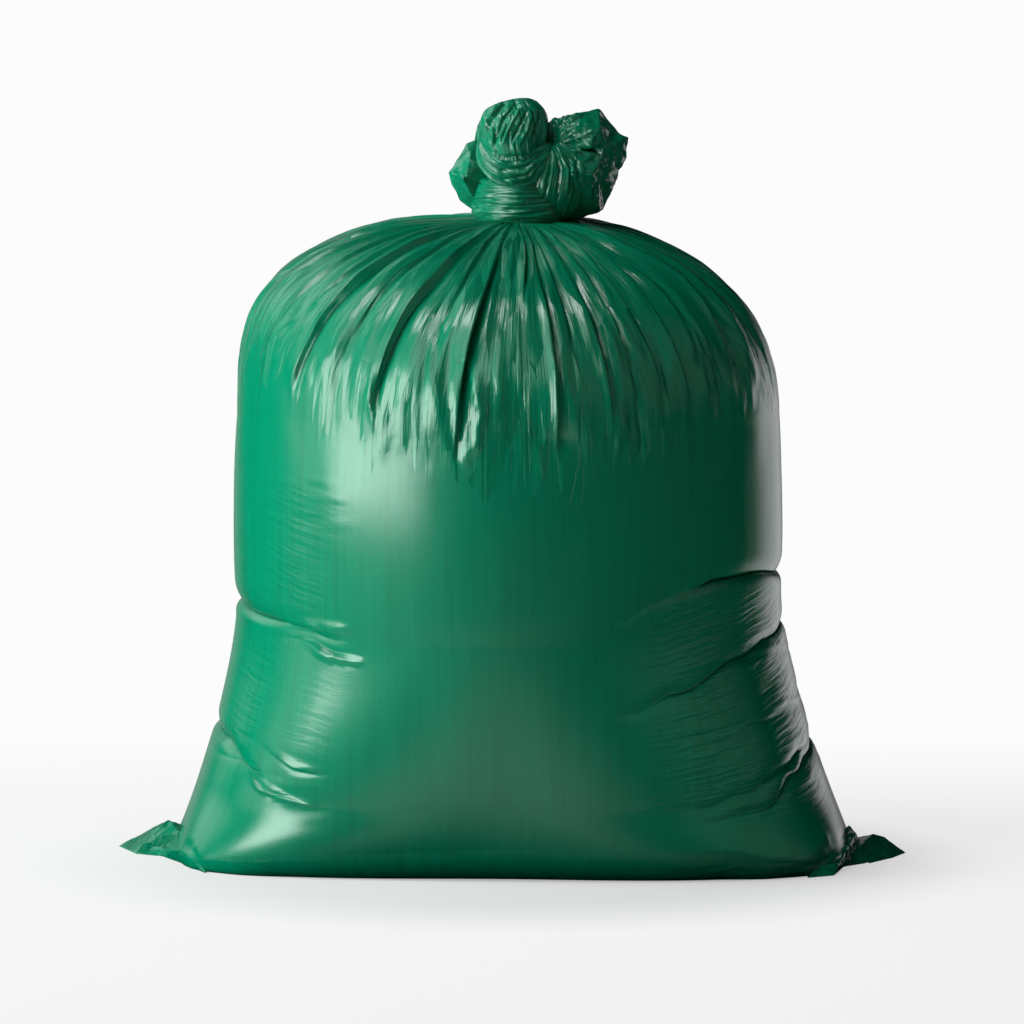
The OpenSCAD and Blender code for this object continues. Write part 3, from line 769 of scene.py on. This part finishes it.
film = {
    "colour": "007f5c",
    "deep": "006a49",
    "tint": (6, 120),  # width and length of the lines between the two colours, in mm
    "roughness": 0.2,
    "ior": 1.5,
    # relief of fine lines: their width and length in mm, their height in metres, and its strength
    "streak": ((0.9, 16), 0.0003, 0.22),
    "grain": ((1.6, 1.6), 0.0003, 0.18),
    "drawn": ((1.5, 60), 0.0008, 0.7),
    "pleats": ((1.8, 50), 0.0007, 0.45),
    # flat sides of the pleats and of crushed film: width, length, lean across and along
    "flaps": [((17, 75), (0.16, 0.04)), ((7, 45), (0.13, 0.03))],
    "crushed": [(16, 0.25), (7, 0.12)],  # size and lean
    "strands": ((3.2, 26), (0.4, 0.05)),
    "raggedEnd": 0.03,  # how much the ends of the flaps differ, in metres
    "flapEnd": 0.6,
    # small wrinkles on the flanks: length and spacing, strength, and for each side their slope and height
    "wrinkle": ((55, 4), 0.8),
    "wrinkles": {"rightWrinkles": (-7, 0.0022), "leftWrinkles": (8, 0.0005)},
}


def filmMaterial(name, kind):
    # blown polyethylene film: glossy, faintly grained, with short lines that run the way it was drawn
    material = bpy.data.materials.new(name)
    tree = emptyTree(material)
    uv = addNode(tree, "ShaderNodeUVMap", uv_map="film").outputs[0]

    def lines(size, angle=0.0, detail=2.0):
        turned = addNode(tree, "ShaderNodeMapping", {"Vector": uv, "Rotation": (0, 0, math.radians(angle))})
        scaled = addNode(tree, "ShaderNodeMapping", {
            "Vector": turned.outputs[0], "Scale": (1000 / size[0], 1000 / size[1], 1),
        })
        inputs = {"Vector": scaled.outputs[0], "Scale": 1.0, "Detail": detail}
        return addNode(tree, "ShaderNodeTexNoise", inputs).outputs[0]

    def bump(height, distance, strength, normal=None):
        inputs = {"Height": height, "Distance": distance, "Strength": strength}
        if normal:
            inputs["Normal"] = normal
        return addNode(tree, "ShaderNodeBump", inputs).outputs[0]

    def mark(name):
        return addNode(tree, "ShaderNodeAttribute", attribute_name=name).outputs["Fac"]

    def flatSides(place, size, leans):
        # cells that each lean their own way: height, how far on the cell's middle lies, and a random number
        step = [s * mm for s in size]
        inputs = {"Vector": place, "Scale": [1 / s for s in step]}
        scaled = addNode(tree, "ShaderNodeMapping", inputs).outputs[0]
        cell = addNode(tree, "ShaderNodeTexVoronoi", {"Vector": scaled, "Scale": 1.0})
        offset = vectorNode(tree, "SUBTRACT", scaled, cell.outputs["Position"])
        lean = vectorNode(tree, "SUBTRACT", cell.outputs["Color"], (0.5, 0.5, 0.5))
        lean = vectorNode(tree, "MULTIPLY", lean, [2 * s * a for s, a in zip(step, leans)])
        ahead = mathNode(tree, "MULTIPLY", partNode(tree, offset, "Y"), -step[1])
        chance = partNode(tree, cell.outputs["Color"], "Z")
        return vectorNode(tree, "DOT_PRODUCT", offset, lean), ahead, chance

    size, height, strength = film["streak"]
    normal = bump(lines(size), height, strength)
    size, height, strength = film["grain"]
    normal = bump(lines(size, detail=1.0), height, strength, normal)
    if kind == "drawn":
        size, height, strength = film["drawn"]
        normal = bump(lines(size), height, strength, normal)
        size, leans = film["strands"]
        normal = bump(flatSides(uv, (*size, 1000), (*leans, 0))[0], 1.0, 1.0, normal)
    elif kind == "crushed":
        place = addNode(tree, "ShaderNodeTexCoord").outputs["Object"]
        for size, lean in film["crushed"]:
            normal = bump(flatSides(place, (size,) * 3, (lean,) * 3)[0], 1.0, 1.0, normal)
    else:
        fringe, pleated = mark("fringe"), mark("pleated")
        for size, leans in film["flaps"]:
            height, ahead, chance = flatSides(uv, (*size, 1000), (*leans, 0))
            inside = mathNode(tree, "MULTIPLY_ADD", chance, film["raggedEnd"], ahead)
            inside = mathNode(tree, "ADD", inside, fringe)
            inside = mathNode(tree, "GREATER_THAN", inside, size[1] * mm * film["flapEnd"])
            height = mathNode(tree, "MULTIPLY", mathNode(tree, "MULTIPLY", height, inside), pleated)
            normal = bump(height, 1.0, 1.0, normal)
        size, height, strength = film["pleats"]
        gathered = mathNode(tree, "MULTIPLY", lines(size), mark("gathered"))
        normal = bump(gathered, height, strength, normal)
        size, strength = film["wrinkle"]
        for side, (slope, height) in film["wrinkles"].items():
            wrinkles = mathNode(tree, "MULTIPLY", lines(size, slope), mark(side))
            normal = bump(wrinkles, height, strength, normal)
    tint = blendNode(tree, lines(film["tint"]), hexColour(film["deep"]), hexColour(film["colour"]))
    shader = addNode(tree, "ShaderNodeBsdfPrincipled", {
        "Base Color": tint, "Roughness": film["roughness"], "IOR": film["ior"], "Normal": normal,
    })
    addNode(tree, "ShaderNodeOutputMaterial", {"Surface": shader.outputs[0]})
    return material


def at(x, y, depth):
    # a spot seen in the photograph, in mm, where depth is how far in front of the neck it lies
    tilt = math.radians(studio["elevation"])
    across = (x - studio["centre"][0]) * studio["pixel"]
    up = ((studio["centre"][1] - y) * studio["pixel"] + depth * math.sin(tilt)) / math.cos(tilt)
    return (across, -depth, up)


# How pleated strands and crushed ends are folded
folding = {
    "strand": [(1, 2.6, 1.3, 1.7, 0), (0.5, 1.5, 1, 1.2, 5)],  # weight, width, length, turns and noise shift
    "strandSwell": (0.10, (26, 26, 40)),
    "strandDrift": (3, (14, 14, 20)),
    "strandFacets": (13, 5.5),
    "height": (0.42, 0.8),  # of the folds and of the facets
    "thin": 10,  # half width in mm under which both are lower
    "strokes": (1.5, 0.5),
    "lumpDrift": (5, 24),
    "lumpFacets": (20, 8),
    "lessFacets": 0.35,
    "facets": 4,
    "rays": (30, 1.2, 16),  # the folds that run to the hole: scale, and height and cell of their drift
    "rayFolds": [(1, 9, 1.6, 0), (0.6, 4.5, 1.2, 3.3)],  # weight, cell, turns and noise shift
    "rayEnds": (10, 1.2),
    "floor": 5,  # height in which a flat corner comes to lie on the floor
}


def crumpled(points, sizes, first):  # large facets with smaller ones on them
    large, small = (facets(points, s, folding["facets"], np.random.default_rng(first + k))
                    for k, s in enumerate(sizes))
    return large + folding["lessFacets"] * small


def strand(name, path, widths, depths, outward, columns, rows, pleat, twist=0.0, square=2.0, shift=0.0):
    # a pleated strand of film: its section turns with the path, and sharp creases part its folds
    def place(column, row):
        t = row / (rows - 1)
        turn = 2 * math.pi * column / columns
        centre = smoothCurve(path, t)
        ahead = smoothCurve(path, np.minimum(1, t + 0.01)) - smoothCurve(path, np.maximum(0, t - 0.01))
        ahead /= np.linalg.norm(ahead, axis=1)[:, None]
        out = smoothCurve([outward] * 2 if np.ndim(outward) == 1 else outward, t)
        out -= ahead * (out * ahead).sum(1)[:, None]
        out /= np.linalg.norm(out, axis=1)[:, None]
        across = np.cross(out, ahead)
        wide, deep = smoothCurve(widths, t), smoothCurve(depths, t)
        c, n = np.cos(turn), np.sin(turn)
        size = (np.abs(c) ** square + np.abs(n) ** square) ** (-1 / square)
        steps = np.linspace(0, 1, 60)
        run = smoothCurve(path, steps)
        length = np.concatenate([[0], np.cumsum(np.linalg.norm(np.diff(run, axis=0), axis=1))])
        along = np.interp(t, steps, length)
        turned = turn + twist * along / 100
        girth = max(widths) + max(depths)
        spot = np.column_stack([np.cos(turned) * girth / 2, np.sin(turned) * girth / 2, along])
        cell, depth, long, crush = pleat
        folds = 0
        for weight, wider, longer, turns, moved in folding["strand"]:
            cells = (cell * wider, cell * wider, long * longer)
            folds = folds + weight * folded(spot, cells, turns, shift + moved)
        high, cells = folding["strandSwell"]
        swell = 1 + high * noiseAt(spot, cells, shift + 2)
        high, cells = folding["strandDrift"]
        rough = centre + across * (wide * c)[:, None] + out * (deep * n)[:, None]
        rough = rough + high * drift(spot, cells, shift + 6, shift + 7, shift + 8)
        crushed = crumpled(rough, folding["strandFacets"], int(shift * 10))
        height = folds * depth * folding["height"][0] + crushed * crush * folding["height"][1]
        height = height * np.minimum(1, np.minimum(wide, deep) / folding["thin"])
        points = centre + across * ((wide * swell * size + height) * c)[:, None]
        points = points + out * ((deep * swell * size + height) * n)[:, None]
        outside = across * c[:, None] + out * n[:, None]
        high, front = folding["strokes"]
        lift = high * strokeLift(points, knotStrokes) * ease(-outside[:, 1] / front)
        return points + outside * lift[:, None], math.pi * girth, along

    return spunGrid(name, columns, rows, place)


def filmLumps(name, lumps, voxel, hole, drawn, crush, number, isFlat=False):
    # crushed film: flat sides spanned between the corners of each lump, fused, and creased towards the hole
    bm = bmesh.new()
    for corners in lumps:
        spots = [bm.verts.new(Vector(p) * mm) for p in corners]
        made = bmesh.ops.convex_hull(bm, input=spots)
        spare = {g for g in made["geom_interior"] + made["geom_unused"] if isinstance(g, bmesh.types.BMVert)}
        bmesh.ops.delete(bm, geom=list(spare), context="VERTS")
    mesh = meshOf(name, bm)
    piece = shown(name, mesh)
    fuse = piece.modifiers.new("fuse", "REMESH")
    fuse.mode, fuse.voxel_size = "VOXEL", voxel * mm
    whole = bpy.data.meshes.new_from_object(piece.evaluated_get(bpy.context.evaluated_depsgraph_get()))
    piece.modifiers.clear()
    piece.data = whole
    whole.name = name
    bpy.data.meshes.remove(mesh)
    points, normals = numbersOf(whole.vertices, "co", 3) / mm, numbersOf(whole.vertices, "normal", 3)
    high, cell = folding["lumpDrift"]
    warped = points + high * drift(points, cell, number + 1, number + 2, number + 3)
    height = crumpled(warped, folding["lumpFacets"], number) * crush
    if hole is not None:
        away = np.linalg.norm(points - hole, axis=1)
        scale, high, cell = folding["rays"]
        rays = (points - hole) / away[:, None] * scale
        rays = rays + high * drift(points, cell, number + 4, number + 5, number + 6)
        folds = 0
        for weight, cell, turns, moved in folding["rayFolds"]:
            folds = folds + weight * folded(rays, cell, turns, number + moved)
        start, end = folding["rayEnds"]
        height = height + folds * drawn[0] * ease(away / start) * ease(end - away / drawn[1])
    if isFlat:
        height = height * ease(points[:, 2] / folding["floor"])
    points = points + normals * height[:, None]
    if isFlat:
        points[:, 2] = np.maximum(points[:, 2], 0)
    whole.vertices.foreach_set("co", (points * mm).ravel())
    corner = numbersOf(whole.loops, "vertex_index", 1, int)
    uv = whole.uv_layers.new(name="film")
    uv.data.foreach_set("uv", (points[corner][:, [0, 1 if isFlat else 2]] * mm).ravel())
    whole.shade_smooth()
    return piece


knot = {
    "hole": (551, 150, 16),  # where the strands meet and go in
    "pleat": (3.4, 1.5, 40, 0.9),  # width, depth and length of a strand's folds, and how crushed it is
    "voxel": 0.9,
    # corners of the crushed ends as the photograph shows them, with their depth; then height and reach of
    # the folds that run to the hole, how crushed the film is, and a seed
    "lumps": [
        ("looseTail", [
            [(545, 148, 14), (546, 126, 8), (566, 117, 12), (598, 110, 3), (602, 115, -8),
             (617, 134, -4),
             (600, 128, 24), (576, 133, 26), (590, 148, 30), (608, 152, 18), (562, 120, -18),
             (600, 126, -26),
             (616, 150, -18), (576, 152, -26)],
            [(590, 138, 20), (617, 134, -4), (629, 138, -4), (627, 157, -4), (619, 173, -2),
             (603, 150, 24),
             (600, 170, 22), (612, 150, -22), (600, 170, -24), (580, 150, -10)],
            [(551, 150, 12), (577, 150, 26), (602, 156, 22), (620, 172, 2), (613, 184, 0),
             (592, 176, 30),
             (572, 172, 32), (558, 166, 26), (604, 211, -4), (590, 204, 16), (580, 220, 0),
             (568, 225, 4),
             (556, 220, 8), (560, 196, 24), (604, 178, -26), (584, 214, -18), (560, 204, -20),
             (566, 160, -24)],
        ], (1.3, 55), 1.5, 11),
        ("tuckedEnd", [
            [(478, 140, -6), (466, 144, -10), (461, 157, -8), (470, 156, 14), (484, 160, 12),
             (486, 186, 10),
             (466, 176, 14), (452, 172, 0), (490, 150, -24), (466, 160, -26), (486, 190, -24)],
            [(461, 160, -4), (448, 173, -8), (452, 186, -8), (460, 201, -8), (467, 205, -6),
             (476, 213, -8),
             (463, 180, 16), (472, 196, 12), (482, 206, 8), (484, 170, 8), (458, 180, -24),
             (476, 205, -26),
             (490, 190, -20)],
        ], (0.7, 60), 1.3, 5),
    ],
}
# The turn of film that binds the neck, in mm
band = {
    "columns": 300,
    "rows": 56,
    "heights": (-22, 19),
    "middle": (6, 0, 539),
    "radius": (38, 9),  # out to its crest, and how thick it is
    "square": 2.6,
    "tilt": [(3.5, 0.6), (2.0, -0.4)],  # how far its folds and its whole run up and down, and where
    "swell": (2, (24, 24, 22)),
    # weight, cell, turns and noise shift
    "folds": [(1, (60, 60, 7), 1.7, 2.2), (0.5, (36, 36, 3.6), 1.3, 7.7)],
    "foldHeight": 0.8,
    "lean": 1.5,
    "spread": 5,  # how much it stands out at the lower right
}


def bandPlace(column, row):
    t = row / (band["rows"] - 1)
    turn = 2 * math.pi * column / band["columns"]
    c, n = np.cos(turn), np.sin(turn)
    z = mix(*band["heights"], t)
    across = 2 * t - 1
    (foldRise, foldTurn), (rise, ringTurn) = band["tilt"]
    around = np.column_stack([c * 40, n * 40, z + foldRise * np.sin(turn + foldTurn)])
    folds = 0
    for weight, cell, turns, moved in band["folds"]:
        folds = folds + weight * folded(around, cell, turns, moved)
    high, cell = band["swell"]
    swell = noiseAt(around, cell, 1.1) * high
    radius, thick = band["radius"]
    r = radius - thick + (thick + swell) * (1 - np.abs(across) ** band["square"]) ** 0.5
    r = r + folds * band["foldHeight"]
    r = r + band["lean"] * across * n
    r = r + band["spread"] * np.clip(-across, 0, 1) * np.clip(c, 0, 1)
    x, y, height = band["middle"]
    points = np.column_stack([x + r * c, y + r * n, height + z + rise * np.cos(turn + ringTurn)])
    return points, 2 * math.pi * radius, t * 40


def knotPieces():
    hole = at(*knot["hole"])
    # the neck inside, and the turn of film that binds it
    core = strand("neckCore", [(4, 0, 508), (4, 0, 540), (3, -3, 590)], [24, 24, 18], [24, 24, 18],
                  (0, -1, 0), 60, 30, knot["pleat"])
    ring = spunGrid("neckBand", band["columns"], band["rows"], bandPlace, isRound=True)
    # the bight of film that stands up out of the knot
    knob = strand(
        "knob",
        [at(518, 178, 10), at(516, 160, 14), at(514, 144, 16), at(514, 131, 14), at(513, 119, 10),
         at(512, 110, 8), at(511, 105, 6)],
        [17, 24, 27, 27.5, 26.5, 22, 7], [16, 24, 27, 27, 25, 20, 5], (0, -1, 0), 240, 140,
        (2.6, 0.8, 44, 1.0), twist=0.9, square=2.3, shift=1.3,
    )
    # the strand over the knob's left, and the wrap that it turns into across the front
    wrap = strand(
        "wrap",
        [at(560, 152, -6), at(548, 160, -26), at(515, 158, -34), at(489, 146, -22), at(486, 128, -4),
         at(486, 138, 14), at(492, 158, 25), at(511, 168, 30), at(532, 163, 29), at(545, 155, 23),
         at(552, 149, 12)],
        [9, 15, 17, 13, 7, 8, 14, 18, 17, 11, 4], [8, 10, 10, 9, 7, 7, 9, 10, 10, 8, 4],
        [(0, 1, 0), (0.3, 1, 0), (0, 1, 0), (-1, 0.5, 0), (-1, 0, 0.1), (-1, -0.6, 0), (-0.4, -1, 0),
         (0, -1, 0), (0.3, -1, 0), (0.4, -1, 0), (0.6, -1, 0)],
        130, 260, (2.4, 1.6, 60, 0.6), shift=3.1,
    )
    # the strap that comes out of the hole and goes down into the neck band
    strap = strand(
        "strap",
        [at(550, 148, 14), at(557, 155, 24), at(561, 170, 26), at(559, 188, 24), at(554, 206, 19),
         at(548, 218, 10)],
        [5, 12, 18, 21, 20, 14], [4, 6, 7, 8, 8, 6], (0.3, -1, 0), 150, 130, (2.4, 1.5, 60, 0.6), shift=6.2,
    )
    # the loose tail, opened out to the right, and the tucked end on the left
    ends = []
    for name, lumps, drawn, crush, number in knot["lumps"]:
        spots = [[at(*p) for p in lump] for lump in lumps]
        ends.append(filmLumps(name, spots, knot["voxel"], np.array(hole), drawn, crush, number))
    return [core, ring, knob, wrap, strap], ends


# The sealed corners of the flat sack, folded out along the floor: corners of their flat sides, in mm
corners = {
    "voxel": 1.0,
    "crush": 0.8,
    "leftCorner": [
        [(-324, 18, 0), (-308, -29, 0), (-296, -16, 11.7), (-282, 2, 24.8), (-300, 44, 0),
         (-276, 50, 0)],
        [(-308, -29, 0), (-296, -16, 11), (-281, 2, 24), (-287, -43, 0), (-290, -34, 5), (-271, 0, 16),
         (-266, -40, 14),
         (-276, 50, 0), (-264, 30, 14)],
        [(-291, -34, 5), (-287, -43, 0), (-268, -90, 0), (-272, -80, 6), (-274, -2, 16.5),
         (-272, -50, 16),
         (-269, -95, 12), (-256, -40, 10), (-256, 40, 4)],
        [(-268, -90, 0), (-272, -80, 6), (-270, -95, 12.5), (-264, -112, 8), (-248, -148, 0),
         (-252, -134, 5),
         (-240, -120, 2), (-244, -60, 8)],
    ],
    "rightCorner": [
        [(324, -22, 0), (313, -51, 0), (306, -20, 12.5), (297, -18, 15.3), (303, -40, 6), (310, 10, 0),
         (288, 20, 0)],
        [(314, -50, 0), (302, -40, 8), (297, -18, 15), (292, -87, 0), (286, -22, 9.5), (280, -70, 8),
         (288, 20, 0),
         (270, 10, 6)],
        [(292, -87, 0), (281, -70, 8), (286, -22, 9.5), (270, -112, 0), (272, -92, 8), (262, -60, 8),
         (262, 0, 4)],
        [(277, -8, 21), (283, -24, 17), (281, -44, 18), (286, -24, 9), (280, -60, 14), (276, -98, 17),
         (262, -60, 4),
         (262, -20, 4), (278, -80, 6)],
        [(275, -98, 17), (277, -90, 8), (270, -112, 0), (262, -158, 0), (262, -136, 10), (252, -154, 8),
         (240, -172, 0), (240, -140, 0), (250, -100, 4)],
    ],
}


def aimed(made, place, aim):  # put in its place, and turned to look at a spot
    made.location = place
    made.rotation_euler = (Vector(aim) - made.location).to_track_quat("-Z", "Y").to_euler()


def camera():
    tilt = math.radians(studio["elevation"])
    half, (across, down) = studio["size"] / 2, studio["centre"]
    pixel = studio["pixel"]
    aim = Vector(((half - across) * pixel * mm, 0, (down - half) * pixel * mm / math.cos(tilt)))
    data = bpy.data.cameras.new("studioCamera")
    data.sensor_width = 36
    data.clip_end = 100
    data.lens = 36 * studio["distance"] / (studio["size"] * studio["pixel"] * mm)
    eye = shown("studioCamera", data)
    aimed(eye, aim + Vector((0, -math.cos(tilt), math.sin(tilt))) * studio["distance"], aim)
    bpy.context.scene.camera = eye


def softbox(name, place, aim, width, height, power, colour, isLighting, isMirrored):
    data = bpy.data.lights.new(name, "AREA")
    data.shape, data.size, data.size_y = "RECTANGLE", width, height
    data.energy = power
    data.color = hexColour(colour)[:3]
    lamp = shown(name, data)
    lamp.visible_camera, lamp.visible_diffuse, lamp.visible_glossy = False, isLighting, isMirrored
    aimed(lamp, place, aim)


def paperFloor():
    # a white paper floor that runs out of sight, and that the film doesn't mirror far from the sack; near
    # the sack every ray but the camera's sees it black, a painted contact shadow in the film's reflections
    # and bounce light
    bm = bmesh.new()
    bmesh.ops.create_grid(bm, x_segments=6, y_segments=6, size=studio["reach"])
    mesh = meshOf("studioPaper", bm)
    paper = shown("studioPaper", mesh)
    material = bpy.data.materials.new("whitePaper")
    tree = emptyTree(material)
    rays = addNode(tree, "ShaderNodeLightPath").outputs
    camera, glossy = rays["Is Camera Ray"], rays["Is Glossy Ray"]
    place = addNode(tree, "ShaderNodeTexCoord").outputs["Object"]
    wide, deep = studio["footprint"]
    around = vectorNode(tree, "LENGTH", vectorNode(tree, "MULTIPLY", place, (1 / wide, 1 / deep, 0)))
    clearOfPaintedShade = rampNode(tree, around, *studio["paintedContactShade"])
    tone = blendNode(tree, camera, hexColour(studio["paperBounce"]), hexColour(studio["paper"]))
    far = mathNode(tree, "MAXIMUM", camera, clearOfPaintedShade)
    far = mathNode(tree, "MINIMUM", far, mathNode(tree, "SUBTRACT", 1.0, glossy))
    # painted shade: near the sack the floor turns black for all rays but the camera's, a painted contact
    # shadow
    tone = blendNode(tree, far, hexColour("000000"), tone)
    lit = addNode(tree, "ShaderNodeBsdfDiffuse", {"Color": tone})
    white = addNode(tree, "ShaderNodeEmission", {"Color": hexColour(studio["white"]), "Strength": 1.0})
    base, beside, behind = studio["glow"]
    near = vectorNode(tree, "DISTANCE", place, studio["glowCentre"])
    glow = mathNode(tree, "ADD", rampNode(tree, near, *studio["glowBeside"], beside), base)
    back = partNode(tree, place, "Y")
    glow = mathNode(tree, "ADD", rampNode(tree, back, *studio["glowBehind"], behind), glow)
    share = mathNode(tree, "MULTIPLY", camera, glow)
    both = addNode(tree, "ShaderNodeMixShader", {0: share, 1: lit.outputs[0], 2: white.outputs[0]})
    clear = addNode(tree, "ShaderNodeBsdfTransparent")
    hide = mathNode(tree, "MULTIPLY", glossy, clearOfPaintedShade)
    whole = addNode(tree, "ShaderNodeMixShader", {0: hide, 1: both.outputs[0], 2: clear.outputs[0]})
    addNode(tree, "ShaderNodeOutputMaterial", {"Surface": whole.outputs[0]})
    mesh.materials.append(material)


def studioRoom():
    # a room that is dark except for what the film mirrors, and white where the camera looks past the sack
    world = bpy.data.worlds.new("studioWorld")
    bpy.context.scene.world = world
    tree = emptyTree(world)
    rays = addNode(tree, "ShaderNodeLightPath").outputs
    way = addNode(tree, "ShaderNodeTexCoord").outputs["Generated"]
    low, high = studio["ambient"]
    overhead = vectorNode(tree, "DOT_PRODUCT", way, studio["overhead"])
    level = rampNode(tree, overhead, *studio["overheadFrom"], high, low)
    height = partNode(tree, way, "Z")
    mirrored = 0.0
    for direction, leans, (start, full, still, end), strength in studio["mirroredRoom"]:
        lean = vectorNode(tree, "DOT_PRODUCT", way, direction)
        patch = rampNode(tree, lean, *leans, strength)
        patch = mathNode(tree, "MULTIPLY", patch, rampNode(tree, height, start, full))
        patch = mathNode(tree, "MULTIPLY", patch, rampNode(tree, height, end, still))
        mirrored = mathNode(tree, "ADD", patch, mirrored)
    inputs = {0: rays["Is Glossy Ray"], 2: level, 3: mirrored}
    strength = addNode(tree, "ShaderNodeMix", inputs, data_type="FLOAT").outputs[0]
    dim = addNode(tree, "ShaderNodeBackground", {"Color": hexColour("ffffff"), "Strength": strength})
    white = addNode(tree, "ShaderNodeBackground", {"Color": hexColour(studio["white"]), "Strength": 1.0})
    inputs = {0: rays["Is Camera Ray"], 1: dim.outputs[0], 2: white.outputs[0]}
    both = addNode(tree, "ShaderNodeMixShader", inputs)
    addNode(tree, "ShaderNodeOutputWorld", {"Surface": both.outputs[0]})


def dress(piece, finish):
    piece.data.materials.append(finish)
    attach(piece, "root")
    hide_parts(sackNode)


camera()
paperFloor()
studioRoom()
for lamp in studio["lamps"]:
    softbox(*lamp)
bpy.context.scene.view_settings.view_transform = "Standard"

smoothFilm = filmMaterial("blownFilm", "smooth")
drawnFilm = filmMaterial("drawnFilm", "drawn")
crushedFilm = filmMaterial("crushedFilm", "crushed")
sackPiece = sackBody()
dress(sackPiece, smoothFilm)
strands, ends = knotPieces()
for piece in strands:
    dress(piece, drawnFilm)
for piece in ends:
    dress(piece, crushedFilm)
print("knot made")
for name in ("leftCorner", "rightCorner"):
    piece = filmLumps(name, corners[name], corners["voxel"], None, None, corners["crush"], 3, isFlat=True)
    dress(piece, crushedFilm)
print("corners made")
